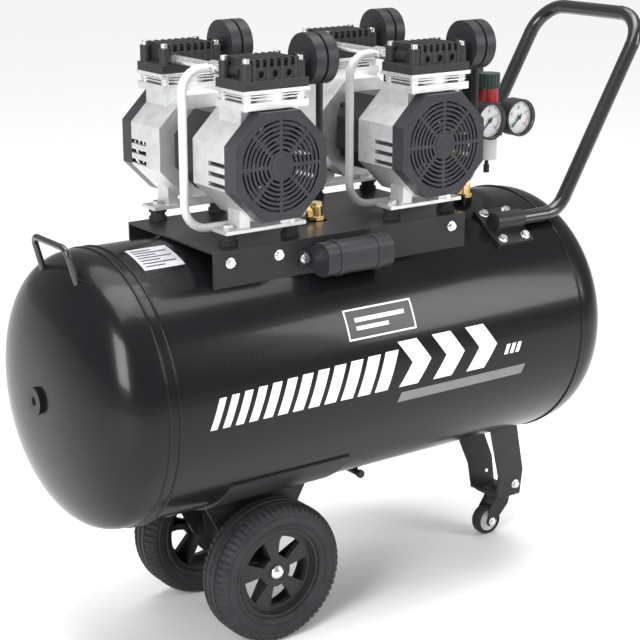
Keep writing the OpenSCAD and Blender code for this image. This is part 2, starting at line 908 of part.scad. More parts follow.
module caster_wheel() {
    color(grey_hose) at_caster_axle() difference() {
        union() {
            y_rod(-caster_w / 2 - 1, caster_w + 2, 8);
            y_rod(-caster_w / 2 + 2, caster_w - 4, caster_r - 7);
        }
        y_rod(-30, 60, caster_axle_r + run_fit);
        for (s = [-1, 1]) y_ring(s * caster_w / 2 - 5, 10, caster_r - 9, 10);
    }
}

module caster_tyre() {
    half = caster_w / 2;
    r = caster_r;
    color(rubber) at_caster_axle() rotate([90, 0, 0]) rotate_extrude()
        polygon([[r - 7, -half + 2], [r - 5, -half], [r - 3, -half], [r - 0.6, -half + 4], [r, -half + 8],
            [r, half - 8], [r - 0.6, half - 4], [r - 3, half], [r - 5, half], [r - 7, half - 2]]);
}

// Straight tube from the origin along Z, with a slim collar at each end that meets a bend
module tube(length, collars) {
    translate([0, 0, joint_gap]) cylinder(h = length - 2 * joint_gap, r = tube_r);
    for (z = collars) translate([0, 0, z - collar_l / 2]) cylinder(h = collar_l, r = tube_r + collar_t);
}

// One leg of the push handle: run on the receiver, knee, sloping leg and top corner
module handle_leg() {
    straight = leg_l - knee_t - bar_corner;
    translate([knee_x - run_l, -handle_w / 2, run_z]) rotate([0, 90, 0])
        tube(run_l - knee_t, [run_l - knee_t]);
    translate([knee_x - knee_t, -handle_w / 2, run_z + knee_r]) rotate([90, 0, 0]) rotate([0, 0, -90])
        rotate_extrude(angle = handle_lean) translate([knee_r, 0]) circle(r = tube_r);
    translate([knee_x, -handle_w / 2, run_z]) rotate([0, 90 - handle_lean, 0]) {
        translate([0, 0, knee_t]) tube(straight, [0, straight]);
        translate([0, bar_corner, leg_l - bar_corner]) rotate([0, -90, 0]) rotate([0, 0, -90])
            rotate_extrude(angle = 90) translate([bar_corner, 0]) circle(r = tube_r);
    }
}

module push_handle() {
    bar_l = handle_w - 2 * bar_corner;
    color(black) {
        front_and_rear() handle_leg();
        translate([bar_x, -bar_l / 2, handle_rise]) rotate([-90, 0, 0]) tube(bar_l, [0, bar_l]);
    }
}

module on_clamp() {
    rotate([clamp_tilt, 0, 0]) translate([clamp_x, 0, tank_r]) children();
}

module clamp() {
    tube_h = clamp_r - tank_r;
    on_clamp() difference() {
        union() {
            block([clamp_l, 2 * clamp_half, pad_t + 4], [0, 0, -4]);
            block([clamp_l - 14, 2 * tube_r + 4, tube_h], [0, 0, 0]);
            translate([0, 0, tube_h]) x_rod(7 - clamp_l / 2, clamp_l - 14, tube_r + 3.5);
        }
        translate([0, 0, tube_h]) x_rod(-clamp_l, 2 * clamp_l, tube_r);
        clamp_holes();
        translate([-clamp_x, 0, -tank_r]) x_rod(0, tank_len, tank_r, $fn = 256);
    }
}

module clamp_holes() {
    for (sx = [-1, 1], sy = [-1, 1])
        translate([sx * 22, sy * clamp_bolt, -4]) cylinder(h = 20, r = 3);
}

module handle_clamps() {
    color(black) front_and_rear() clamp();
}

module flange_bolt() {
    cylinder(h = 1.5, r = 7.5);
    hex(6, 10);
    translate([0, 0, -4]) cylinder(h = 5, r = 3);
}

module flange_bolts() {
    color(steel) {
        front_and_rear() on_clamp() for (sx = [-1, 1], sy = [-1, 1])
            translate([sx * 22, sy * clamp_bolt, pad_t]) flange_bolt();
        for (x = [deck_left + 26, deck_left + 104, deck_left + deck_len - 26])
            translate([x, -deck_front, tank_r - 12]) rotate([90, 0, 0]) flange_bolt();
        for (sx = [-1, 1]) translate([box_x + sx * (box_w / 2 - 8), -deck_front - 3, box_z])
            rotate([90, 0, 0]) flange_bolt();
        front_and_rear() on_arm() translate([leg_bolt[0], leg_bolt[1], leg_t]) flange_bolt();
    }
}

module lift_handle() {
    color(black) difference() {
        translate([lift_x, 0, lift_z]) rotate([0, -15, 0]) {
            y_rod(-lift_y + lift_corner, 2 * (lift_y - lift_corner), lift_r);
            front_and_rear() {
                translate([0, -lift_y + lift_corner, -lift_corner]) rotate([0, -90, 0]) rotate([0, 0, -90])
                    rotate_extrude(angle = 90) translate([lift_corner, 0]) circle(r = lift_r);
                translate([0, -lift_y, -80]) cylinder(h = 80 - lift_corner, r = lift_r);
            }
        }
        rotate([0, -90, 0]) rotate_extrude($fn = 96)
            polygon(concat([[0, 0]], dome(tank_r, head_depth, 18)));
    }
}

module manifold() {
    color(brass) difference() {
        union() {
            translate([riser_x, riser_y, boss_top - 12]) cylinder(h = block_z - boss_top + 13, r = 7);
            translate([riser_x, riser_y, boss_top]) hex(9, 22);
            translate([riser_x, riser_y, block_z - 9]) hex(9.5, 20);
            block([50, 30, block_h], [riser_x + 10, riser_y - 1, block_z]);
            translate([reg_x, 0, block_z + 12]) y_rod(-44, 15, 7);
        }
        translate([outlet_x - 6, riser_y, outlet_z]) x_rod(0, 30, 6);
        translate([riser_x - 16, riser_y, outlet_z]) x_rod(0, 5, 5);
    }
}

module pressure_switch() {
    color(black) {
        translate([switch_x, switch_y, switch_z]) cube([switch_w, switch_d, base_h]);
        translate([switch_x - 9, switch_y + 18, switch_z + 8]) x_rod(0, 10, 7);
        translate([switch_x - 14, switch_y + 18, switch_z + 8]) x_rod(0, 6, 9);
    }
}

module switch_cover() {
    color(black) difference() {
        translate([switch_x + 1, switch_y + 1, switch_z + base_h])
            cube([switch_w - 2, switch_d - 2, switch_h - base_h]);
        translate([switch_x + 4, switch_y + 4, switch_z + base_h - 1])
            cube([switch_w - 8, switch_d - 8, switch_h - base_h - 2]);
        translate([switch_x + switch_w / 2, switch_y + switch_d / 2, switch_z])
            cylinder(h = 100, r = 5 + run_fit);
    }
}

module switch_knob() {
    color([0.6, 0.08, 0.07])
        translate([switch_x + switch_w / 2, switch_y + switch_d / 2, switch_z + switch_h]) {
        translate([0, 0, -10]) cylinder(h = 11, r = 5);
        translate([0, 0, 0.4]) cylinder(h = 8, r = 12);
        block([24, 6, 6], [0, 0, 7]);
    }
}

module regulator() {
    color(black) translate([reg_x, reg_y, reg_z]) difference() {
        union() {
            block([32, 32, reg_h], [0, 0, 0]);
            translate([0, 0, gauge_z - reg_z]) x_rod(-gauge_x, 2 * gauge_x, 6);
            for (sx = [-1, 1]) block([14, 14, 14], [sx * gauge_x, 0, gauge_z - reg_z - 7]);
            for (z = [6, 38]) translate([0, 0, z]) cylinder(h = 5, r = collar_out);
        }
        translate([0, 0, -1]) cylinder(h = 14, r = 9);
        translate([0, 0, reg_h - 10]) cylinder(h = 11, r = 6 + run_fit);
        for (sx = [-1, 1]) translate([sx * gauge_x, 0, gauge_z - reg_z]) y_rod(-8, 8, 4);
        translate([0, 0, block_z + 12 - reg_z]) y_rod(16, 10, 7);
    }
}

module regulator_knob() {
    color([0.10, 0.16, 0.13]) translate([reg_x, reg_y, reg_z + reg_h]) {
        translate([0, 0, -9]) cylinder(h = 10, r = 6);
        translate([0, 0, 0.4]) cylinder(h = band_h, r = knob_d / 2 - 2.5);
        difference() {
            translate([0, 0, band_h]) cylinder(h = knob_h, r = knob_d / 2);
            for (a = [0 : 20 : 340]) rotate(a) translate([knob_d / 2 + 1.2, 0, band_h - 1])
                cylinder(h = knob_h + 2, r = 2.2);
        }
    }
}

module filter_bowl() {
    color([0.62, 0.63, 0.64]) translate([reg_x, reg_y, reg_z]) {
        translate([0, 0, -3]) cylinder(h = 14, r = 9);
        difference() {
            translate([0, 0, -36]) cylinder(h = 36, r = 15);
            translate([0, 0, -32]) cylinder(h = 28, r = 12);
        }
        translate([0, 0, -50]) cylinder(h = 15, r = 3);
        translate([0, 0, -57]) cylinder(h = 12, r = 4.5);
    }
}

module at_gauges() {
    for (sx = [-1, 1]) translate([reg_x + sx * gauge_x, gauge_face, gauge_z]) children();
}

module gauges() {
    r = gauge_d / 2;
    color(black) at_gauges() difference() {
        union() {
            y_rod(0, gauge_t, r);
            y_rod(gauge_t - 1, reg_y - gauge_face - gauge_t + 1, 4);
        }
        y_rod(-1, 9, r - 3);
        y_rod(7, 5, 1 + run_fit);
    }
}

module gauge_lenses() {
    color(clear) at_gauges() y_rod(0.6, 1.6, gauge_d / 2 - 3);
}

module needle(side) {
    color("black") translate([reg_x + side * gauge_x, gauge_face, gauge_z]) {
        y_rod(4.2, 6, 1);
        y_rod(4.2, 1.5, 3);
        rotate([0, -135, 0]) translate([-1, 4.6, -7]) cube([2, 0.8, 26]);
    }
}

module left_needle() {
    needle(-1);
}

module right_needle() {
    needle(1);
}

module safety_valve() {
    color(brass) translate([riser_x - 15, riser_y, outlet_z]) difference() {
        union() {
            x_rod(-10, 14, 5);
            translate([-17, 0, 0]) rotate([0, 90, 0]) hex(7.5, 16);
            x_rod(-34, 18, 7);
        }
        x_rod(-36, 16, 2.5 + run_fit);
    }
}

module safety_ring() {
    color(steel) translate([riser_x - 15, riser_y, outlet_z]) {
        x_rod(-44, 20, 2.5);
        translate([-53, 0, 0]) rotate_extrude() translate([9, 0]) circle(r = 1.5);
    }
}

module outlet_coupler() {
    color(steel) translate([outlet_x, riser_y, outlet_z]) difference() {
        union() {
            x_rod(-6, 15, 6);
            translate([9, 0, 0]) rotate([0, 90, 0]) hex(8, 19);
            x_rod(16, 20, 8.5);
            x_rod(22, 10, 10.5);
        }
        x_rod(8, 40, 4.2);
    }
}

on_tank() tank_shell();
on_tank() tank_heads();
on_tank() tank_bosses();
on_tank() tank_plug();
on_tank() drain_valve();
on_tank() drain_tap();
on_tank() deck();
on_tank() rubber_mounts();
on_tank() mount_bolts();
on_tank() stators();
on_tank() crankcases();
on_tank() bearings();
on_tank() cylinders();
on_tank() valve_plates();
on_tank() cylinder_heads();
on_tank() head_screws();
on_tank() intake_filters();
on_tank() fan_grilles();
on_tank() crossover_pipes();
on_tank() discharge_hoses();
on_tank() check_valves();
on_tank() left_rotor();
on_tank() right_rotor();
on_tank() left_fans();
on_tank() right_fans();
on_tank() left_front_piston();
on_tank() left_rear_piston();
on_tank() right_front_piston();
on_tank() right_rear_piston();
on_tank() capacitor_box();
on_tank() wheel_brackets();
on_tank() wheel_axles();
on_tank() front_wheel();
on_tank() front_tyre();
on_tank() rear_wheel();
on_tank() rear_tyre();
on_tank() caster_leg();
on_tank() caster_plate();
on_tank() caster_fork();
on_tank() caster_axle();
on_tank() caster_wheel();
on_tank() caster_tyre();
on_tank() push_handle();
on_tank() handle_clamps();
on_tank() flange_bolts();
on_tank() lift_handle();
on_tank() manifold();
on_tank() pressure_switch();
on_tank() switch_cover();
on_tank() switch_knob();
on_tank() regulator();
on_tank() regulator_knob();
on_tank() filter_bowl();
on_tank() gauges();
on_tank() gauge_lenses();
on_tank() left_needle();
on_tank() right_needle();
on_tank() safety_valve();
on_tank() safety_ring();
on_tank() outlet_coupler();
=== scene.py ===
# %% [markdown]
# # A wheeled oil-free air compressor
# A black receiver lies on two wheels and a caster. Two twin-cylinder pump units stand on a
# pressed deck above it, and the pressure switch, regulator and gauges sit at the right end,
# under the push handle. The exact shapes come from CAD. This file gives each of them its real
# finish, and makes what CAD leaves plain: the tyre tread, the domed heads, the gauge dials
# and the printed graphics on the receiver.

import json
import math

import bmesh
import bpy
from mathutils import Matrix, Vector


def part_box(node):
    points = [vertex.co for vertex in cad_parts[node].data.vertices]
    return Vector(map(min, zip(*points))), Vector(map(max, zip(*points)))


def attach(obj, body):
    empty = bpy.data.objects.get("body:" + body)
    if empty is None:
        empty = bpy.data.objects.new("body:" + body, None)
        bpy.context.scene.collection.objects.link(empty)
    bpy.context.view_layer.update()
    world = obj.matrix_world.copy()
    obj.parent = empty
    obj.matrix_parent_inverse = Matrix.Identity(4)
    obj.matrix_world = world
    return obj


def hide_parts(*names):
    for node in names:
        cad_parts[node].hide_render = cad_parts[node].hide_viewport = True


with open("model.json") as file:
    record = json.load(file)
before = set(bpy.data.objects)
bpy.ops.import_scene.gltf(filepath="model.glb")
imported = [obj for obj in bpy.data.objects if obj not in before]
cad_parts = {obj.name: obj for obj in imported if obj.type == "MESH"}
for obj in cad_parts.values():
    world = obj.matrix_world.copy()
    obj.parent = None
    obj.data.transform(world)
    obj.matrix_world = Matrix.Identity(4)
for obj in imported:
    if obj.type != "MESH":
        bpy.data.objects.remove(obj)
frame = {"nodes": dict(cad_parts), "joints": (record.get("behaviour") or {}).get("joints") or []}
nodes = frame["nodes"]
joints = {j["name"]: j for j in frame["joints"]}
mm = 0.001
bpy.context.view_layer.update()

# %% [markdown]
# ## Camera
# The machine is seen from its front left, a little above. A long lens a good two metres away
# keeps the upright lines nearly parallel, as in a catalogue picture. The camera has no shift and
# no depth of field, so any other view of the scene is just as sharp.

# %% Place the camera
view_direction = Vector((0.5564, 0.7829, -0.2782))
camera_data = bpy.data.cameras.new("camera")
camera_data.lens = 91.95
camera_data.sensor_width = 36.0
camera = bpy.data.objects.new("camera", camera_data)
camera.location = (-1.4003, -1.9165, 1.1111)
camera.rotation_euler = view_direction.to_track_quat("-Z", "Y").to_euler()
bpy.context.scene.collection.objects.link(camera)
bpy.context.scene.camera = camera

# %% [markdown]
# ## Light and floor
# Glossy black paint has almost no colour of its own, so what it mirrors is what we see. A dim
# pale room keeps it black, and three large soft panels put broad, quiet highlights along the
# receiver and on its heads. A wide sun, high above, lights the plain pale floor evenly, so that
# the floor stays bright although the room is dim.

# %% Build the studio
scene = bpy.context.scene
scene.view_settings.view_transform = "Standard"
room_brightness = 0.42
world = bpy.data.worlds.new("studio")
world.use_nodes = True
world.node_tree.nodes["Background"].inputs["Color"].default_value = (1.0, 1.0, 1.0, 1)
world.node_tree.nodes["Background"].inputs["Strength"].default_value = room_brightness
scene.world = world


def soft_panel(name, at, aim, width, height, power):
    # places and sizes in metres, power in watts
    light = bpy.data.lights.new(name, "AREA")
    light.shape = "RECTANGLE"
    light.size = width
    light.size_y = height
    light.energy = power
    holder = bpy.data.objects.new(name, light)
    holder.location = at
    holder.rotation_euler = (Vector(aim) - Vector(at)).to_track_quat("-Z", "Y").to_euler()
    scene.collection.objects.link(holder)


# an angle of 0.9 radians makes the edges of its shadows very soft
high_light = bpy.data.lights.new("high_light", "SUN")
high_light.energy = 1.9
high_light.angle = 0.9
high_light_holder = bpy.data.objects.new("high_light", high_light)
high_light_holder.rotation_euler = (-0.18, 0.12, 0)
scene.collection.objects.link(high_light_holder)

soft_panel("panel_top", (0.0, -0.3, 2.6), (0, 0, 0.5), 2.4, 1.2, 48)
soft_panel("panel_left", (-2.4, -1.2, 1.5), (0, 0, 0.5), 0.9, 1.6, 70)
soft_panel("panel_right", (1.9, -2.2, 1.6), (0.1, 0, 0.5), 0.9, 1.4, 36)


# %% Mesh helpers and the floor


def new_object(name, mesh):
    piece = bpy.data.objects.new(name, mesh)
    scene.collection.objects.link(piece)
    return piece


def mesh_from(name, points, faces, smooth=False, merge=False):
    # merge joins points that meet, as at the middle of a turned dome
    mesh = bpy.data.meshes.new(name)
    mesh.from_pydata([tuple(p) for p in points], [], faces)
    mesh.update()
    shape = bmesh.new()
    shape.from_mesh(mesh)
    if merge:
        bmesh.ops.remove_doubles(shape, verts=shape.verts, dist=1e-6)
        bmesh.ops.dissolve_degenerate(shape, edges=shape.edges, dist=1e-7)
    bmesh.ops.recalc_face_normals(shape, faces=shape.faces)
    shape.to_mesh(mesh)
    shape.free()
    for face in mesh.polygons:
        face.use_smooth = smooth
    return mesh


# wide enough to reach past the top edge of the picture
reach = 22.0
floor_gap = 0.4 * mm
corners = [(-reach, -reach, 0), (reach, -reach, 0), (reach, reach, 0), (-reach, reach, 0)]
floor = new_object("floor", mesh_from("floor", [Vector(c) for c in corners], [(0, 1, 2, 3)]))
floor.location.z = -floor_gap
print("studio ready, floor side", 2 * reach, "m")

# %% [markdown]
# ## One recipe for every finish
# Painted steel, castings, rubber and plastic differ in numbers, not in kind. Each has a colour
# that drifts a little, a roughness that drifts a little, a fine surface grain, and edges where
# the finish is worn or thin. So one function builds all of them from object coordinates: they
# don't need unwrapping, and the grain keeps its size in millimetres. The edge mask compares the
# surface's own normal with a slightly rounded one, so it also softens each sharp edge.

# %% The finish function


def finish(name, colour, rough, metal=0.0, drift=0.15, patch=0.03, grain=0.0004, bump=0.15,
           worn=None, wear=0.35, edge=0.0006, coat=0.0, coat_rough=0.1, stretch=(1, 1, 1), shine=0.5):
    made = bpy.data.materials.new(name)
    made.use_nodes = True
    tree = made.node_tree
    link = tree.links.new
    add = tree.nodes.new
    shader = tree.nodes["Principled BSDF"]
    shader.inputs["Metallic"].default_value = metal
    shader.inputs["Specular IOR Level"].default_value = shine
    shader.inputs["Coat Weight"].default_value = coat
    shader.inputs["Coat Roughness"].default_value = coat_rough
    place = add("ShaderNodeTexCoord")
    scaled = add("ShaderNodeMapping")
    scaled.inputs["Scale"].default_value = stretch
    link(place.outputs["Object"], scaled.inputs["Vector"])
    # slow drift of the colour
    cloud = add("ShaderNodeTexNoise")
    cloud.inputs["Scale"].default_value = 1 / patch
    cloud.inputs["Detail"].default_value = 5
    link(scaled.outputs["Vector"], cloud.inputs["Vector"])
    ramp = add("ShaderNodeValToRGB")
    ramp.color_ramp.elements[0].position = 0.3
    ramp.color_ramp.elements[1].position = 0.7
    ramp.color_ramp.elements[0].color = [c * (1 - drift) for c in colour] + [1]
    ramp.color_ramp.elements[1].color = [min(1, c * (1 + drift)) for c in colour] + [1]
    link(cloud.outputs["Fac"], ramp.inputs["Fac"])
    # roughness follows the same cloud
    level = add("ShaderNodeMapRange")
    level.inputs["To Min"].default_value = rough * 0.82
    level.inputs["To Max"].default_value = min(1, rough * 1.18)
    link(cloud.outputs["Fac"], level.inputs["Value"])
    link(level.outputs["Result"], shader.inputs["Roughness"])
    # fine grain, on a normal that is rounded at the edges
    round_off = add("ShaderNodeBevel")
    round_off.samples = 4
    round_off.inputs["Radius"].default_value = edge
    speck = add("ShaderNodeTexNoise")
    speck.inputs["Scale"].default_value = 1 / grain
    speck.inputs["Detail"].default_value = 3
    link(scaled.outputs["Vector"], speck.inputs["Vector"])
    relief = add("ShaderNodeBump")
    relief.inputs["Strength"].default_value = bump
    relief.inputs["Distance"].default_value = grain
    link(speck.outputs["Fac"], relief.inputs["Height"])
    link(round_off.outputs["Normal"], relief.inputs["Normal"])
    link(relief.outputs["Normal"], shader.inputs["Normal"])
    if worn is None:
        link(ramp.outputs["Color"], shader.inputs["Base Color"])
        return made
    # bare or lighter edges, broken up by the cloud
    surface = add("ShaderNodeNewGeometry")
    turn = add("ShaderNodeVectorMath")
    turn.operation = "DOT_PRODUCT"
    link(round_off.outputs["Normal"], turn.inputs[0])
    link(surface.outputs["Normal"], turn.inputs[1])
    mask = add("ShaderNodeMapRange")
    mask.inputs["From Min"].default_value = 0.99
    mask.inputs["From Max"].default_value = 0.85
    link(turn.outputs["Value"], mask.inputs["Value"])
    broken = add("ShaderNodeMath")
    broken.operation = "MULTIPLY"
    link(mask.outputs["Result"], broken.inputs[0])
    link(cloud.outputs["Fac"], broken.inputs[1])
    amount = add("ShaderNodeMath")
    amount.operation = "MULTIPLY"
    amount.inputs[1].default_value = wear
    link(broken.outputs["Value"], amount.inputs[0])
    mix = add("ShaderNodeMix")
    mix.data_type = "RGBA"
    link(amount.outputs["Value"], mix.inputs["Factor"])
    link(ramp.outputs["Color"], mix.inputs["A"])
    mix.inputs["B"].default_value = (*worn, 1)
    link(mix.outputs["Result"], shader.inputs["Base Color"])
    return made


floor.data.materials.append(finish("pale_floor", (0.93, 0.93, 0.93), 0.6, drift=0.01, bump=0.0))
print("finish function ready")

# %% [markdown]
# ## Paints, metals, rubbers and plastics
# Powder coat flows out glossy but keeps a faint orange peel, so its grain is coarse and shallow.
# Shot-blasted aluminium is pale, only half metallic to the eye, and finely pitted. Turned brass
# and zinc plate are smooth and bright. Moulded plastic and rubber have no metal in them at all,
# and their worn edges go grey.

# %% Make the finishes
tank_black = finish("tank_black", (0.006, 0.006, 0.007), 0.22, drift=0.1, patch=0.25, grain=0.0035,
                    bump=0.035, coat=0.14, coat_rough=0.08, worn=(0.08, 0.08, 0.085), wear=0.3, shine=0.15)
satin_black = finish("satin_black", (0.020, 0.020, 0.022), 0.36, grain=0.0012, bump=0.10,
                     worn=(0.16, 0.16, 0.165), wear=0.6, shine=0.22)
tube_black = finish("tube_black", (0.016, 0.016, 0.018), 0.20, patch=0.08, grain=0.0022, bump=0.04,
                    coat=0.5, coat_rough=0.06, shine=0.3)
cast_alloy = finish("cast_alloy", (0.66, 0.665, 0.67), 0.40, metal=0.72, drift=0.10, patch=0.018,
                    grain=0.0007, bump=0.32, worn=(0.86, 0.86, 0.86), wear=0.9, edge=0.0011)
milled_alloy = finish("milled_alloy", (0.80, 0.80, 0.81), 0.27, metal=0.9, drift=0.06,
                      grain=0.0005, bump=0.10, worn=(0.92, 0.92, 0.92), wear=0.8,
                      stretch=(1, 8, 1))
cast_black = finish("cast_black", (0.022, 0.022, 0.024), 0.46, grain=0.0007, bump=0.34,
                    worn=(0.17, 0.17, 0.175), wear=0.8, edge=0.0010, shine=0.25)
bright_zinc = finish("bright_zinc", (0.74, 0.745, 0.76), 0.24, metal=1.0, drift=0.08, patch=0.006,
                     grain=0.0005, bump=0.07, worn=(0.9, 0.9, 0.9), wear=0.7)
turned_brass = finish("turned_brass", (0.80, 0.58, 0.25), 0.25, metal=1.0, drift=0.12, patch=0.008,
                      grain=0.0004, bump=0.06, worn=(0.95, 0.80, 0.50), wear=0.8)
soft_rubber = finish("soft_rubber", (0.028, 0.028, 0.030), 0.70, grain=0.0005, bump=0.25,
                     worn=(0.11, 0.11, 0.11), wear=0.5, shine=0.2)
tyre_rubber = finish("tyre_rubber", (0.024, 0.024, 0.027), 0.56, drift=0.22, patch=0.02,
                     grain=0.0006, bump=0.22, worn=(0.10, 0.10, 0.105), wear=0.7, shine=0.22)
black_plastic = finish("black_plastic", (0.022, 0.022, 0.025), 0.38, grain=0.0004, bump=0.22,
                       worn=(0.13, 0.13, 0.14), wear=0.7, shine=0.25)
grille_plastic = finish("grille_plastic", (0.026, 0.026, 0.031), 0.34, grain=0.0005, bump=0.15,
                        worn=(0.17, 0.17, 0.19), wear=0.9, edge=0.0009, shine=0.3)
wheel_plastic = finish("wheel_plastic", (0.020, 0.020, 0.022), 0.40, patch=0.02, grain=0.0006,
                       bump=0.16, worn=(0.14, 0.14, 0.145), wear=0.8, edge=0.0010, shine=0.25)
pale_grey = finish("pale_grey", (0.60, 0.61, 0.61), 0.35, drift=0.05, grain=0.0004, bump=0.10,
                   worn=(0.72, 0.72, 0.72), wear=0.5)
bowl_grey = finish("bowl_grey", (0.50, 0.51, 0.50), 0.28, drift=0.06, grain=0.0004, bump=0.08,
                   worn=(0.66, 0.66, 0.66), wear=0.5, coat=0.3)
knob_green = finish("knob_green", (0.012, 0.035, 0.028), 0.34, grain=0.0004, bump=0.15,
                    worn=(0.08, 0.13, 0.11), wear=0.8)
band_red = finish("band_red", (0.42, 0.022, 0.016), 0.30, drift=0.10, grain=0.0004, bump=0.10,
                  worn=(0.62, 0.12, 0.09), wear=0.7)
teal_plastic = finish("teal_plastic", (0.012, 0.028, 0.027), 0.36, grain=0.0005, bump=0.15,
                      worn=(0.09, 0.13, 0.13), wear=0.8)
print("finishes:", len(bpy.data.materials))

# %% [markdown]
# ## Laminated stator and clear lens
# The motor's stator is a stack of thin steel sheets, and their edges show as fine rings around
# it. A wave across the shaft direction draws them. The gauge lens is thin clear plastic: a plain
# transmitting shader with a trace of uneven polish is enough.

# %% Make the two special finishes
stator_steel = finish("stator_steel", (0.020, 0.020, 0.021), 0.42, metal=0.3, grain=0.0006, bump=0.1,
                      worn=(0.12, 0.12, 0.12), wear=0.5, shine=0.3)
sheets = stator_steel.node_tree.nodes.new("ShaderNodeTexWave")
sheets.bands_direction = "Y"
sheets.inputs["Scale"].default_value = 160
sheets.inputs["Distortion"].default_value = 0.4
place = stator_steel.node_tree.nodes["Texture Coordinate"]
stator_steel.node_tree.links.new(place.outputs["Object"], sheets.inputs["Vector"])
stack = stator_steel.node_tree.nodes.new("ShaderNodeBump")
stack.inputs["Strength"].default_value = 0.5
stack.inputs["Distance"].default_value = 0.0006
stator_steel.node_tree.links.new(sheets.outputs["Fac"], stack.inputs["Height"])
stator_steel.node_tree.links.new(stator_steel.node_tree.nodes["Bump"].outputs["Normal"],
                                 stack.inputs["Normal"])
stator_steel.node_tree.links.new(stack.outputs["Normal"],
                                 stator_steel.node_tree.nodes["Principled BSDF"].inputs["Normal"])

clear_lens = finish("clear_lens", (0.97, 0.98, 0.98), 0.03, drift=0.01, patch=0.01, grain=0.002,
                    bump=0.02)
clear_lens.node_tree.nodes["Principled BSDF"].inputs["Transmission Weight"].default_value = 1.0
clear_lens.node_tree.nodes["Principled BSDF"].inputs["IOR"].default_value = 1.30
print("laminations", sheets.inputs["Scale"].default_value, "per metre scale")

# %% [markdown]
# ## Dress the CAD parts
# Each named part takes the finish of the real one. Curved faces are shaded smooth and true
# corners stay sharp, by the angle between neighbouring faces.

# %% Assign finishes to nodes
dress = {
    tank_black: ["tank_shell", "tank_heads", "tank_bosses"],
    satin_black: ["deck", "wheel_brackets", "caster_leg", "handle_clamps", "caster_fork",
                  "caster_plate"],
    tube_black: ["push_handle", "lift_handle"],
    cast_alloy: ["crankcases", "cylinders"],
    milled_alloy: ["valve_plates", "crossover_pipes", "left_front_piston", "left_rear_piston",
                   "right_front_piston", "right_rear_piston"],
    cast_black: ["cylinder_heads", "regulator", "drain_valve", "drain_tap", "tank_plug"],
    bright_zinc: ["mount_bolts", "bearings", "head_screws", "left_rotor", "right_rotor",
                  "wheel_axles", "caster_axle", "flange_bolts", "safety_ring", "outlet_coupler"],
    turned_brass: ["check_valves", "manifold", "safety_valve"],
    soft_rubber: ["rubber_mounts", "caster_tyre"],
    tyre_rubber: ["front_tyre", "rear_tyre"],
    black_plastic: ["intake_filters", "left_fans", "right_fans", "capacitor_box", "gauges",
                    "left_needle", "right_needle"],
    grille_plastic: ["fan_grilles"],
    wheel_plastic: ["front_wheel", "rear_wheel"],
    teal_plastic: ["pressure_switch", "switch_cover"],
    pale_grey: ["caster_wheel", "discharge_hoses"],
    bowl_grey: ["filter_bowl"],
    knob_green: ["regulator_knob"],
    band_red: ["switch_knob"],
    stator_steel: ["stators"],
    clear_lens: ["gauge_lenses"],
}
for made, names in dress.items():
    for name in names:
        mesh = nodes[name].data
        mesh.materials.clear()
        mesh.materials.append(made)
        mesh.polygons.foreach_set("use_smooth", [True] * len(mesh.polygons))
        mesh.set_sharp_from_angle(angle=math.radians(28))
dressed = sum(len(names) for names in dress.values())
print("dressed", dressed, "of", len(nodes), "nodes")
assert dressed == len(nodes)

# %% [markdown]
# Two nodes are moulded in two colours. The regulator knob has a dark grip above a red locking
# band, and the filter bowl ends in a black drain. Their faces are sorted by height.

# %% Colour parts of two nodes by height


def colour_below(name, height, below):
    mesh = nodes[name].data
    mesh.materials.append(below)
    turned = 0
    for face in mesh.polygons:
        if face.center.z < height:
            face.material_index = 1
            turned += 1
    print(name, "faces below", round(height, 3), "m:", turned)


grip_height = 22.1 * mm
drain_height = 20.5 * mm
colour_below("regulator_knob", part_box("regulator_knob")[1].z - grip_height, band_red)
colour_below("filter_bowl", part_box("filter_bowl")[0].z + drain_height, black_plastic)

# %% [markdown]
# ## Tyres
# A solid rubber tyre has three things that a plain ring lacks: blocks cut into its shoulders,
# grooves that run round its tread, and raised rings on its side walls. The tyre is made by
# carrying one profile round the axle and pressing the shoulder points inwards at every gap
# between two blocks. A modelled groove catches the light from any side, and a bump would not.

# %% Tread profile
wheel_low, wheel_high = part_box("front_tyre")
tyre_radius = (wheel_high.z - wheel_low.z) / 2
tyre_half = (wheel_high.y - wheel_low.y) / 2
rim_radius = (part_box("front_wheel")[1].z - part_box("front_wheel")[0].z) / 2
# each point: a radius to measure from, the way out from it, the way in from the side face
# (both in millimetres), and the share of the block cut that the point takes
half_profile = [(start + out * mm, tyre_half - inset * mm, share) for start, out, inset, share in (
    # bead and raised side wall rings
    (rim_radius, 0.1, 4.5, 0), (rim_radius, 3, 2.0, 0), (rim_radius, 5, 0.5, 0),
    (rim_radius, 7, 0.9, 0), (rim_radius, 8, 2.2, 0), (rim_radius, 10, 2.0, 0),
    (rim_radius, 11, 0.6, 0), (rim_radius, 15, 0, 0), (rim_radius, 20, 0.1, 0),
    (rim_radius, 21.5, 1.4, 0),
    # shoulder, where the blocks are
    (tyre_radius, -14, 1.2, 0), (tyre_radius, -12.5, 0.4, 0.5), (tyre_radius, -8, 1.6, 1),
    (tyre_radius, -4, 5, 1), (tyre_radius, -1, 11, 1), (tyre_radius, -0.1, 15, 1),
    # tread with its grooves
    (tyre_radius, 0, 16.5, 0), (tyre_radius, -2.6, 17.3, 0), (tyre_radius, -2.6, 19.5, 0),
    (tyre_radius, 0, 20.3, 0), (tyre_radius, 0, 27, 0), (tyre_radius, -2.0, 28, 0),
)]
blocks = 64
steps_per_block = 6
gap_steps = 2
block_cut = 1.5 * mm
side_share = 0.55
print("tyre", round(2 * tyre_radius / mm), "mm across,", blocks, "blocks on each shoulder")

# %% Build both tyres


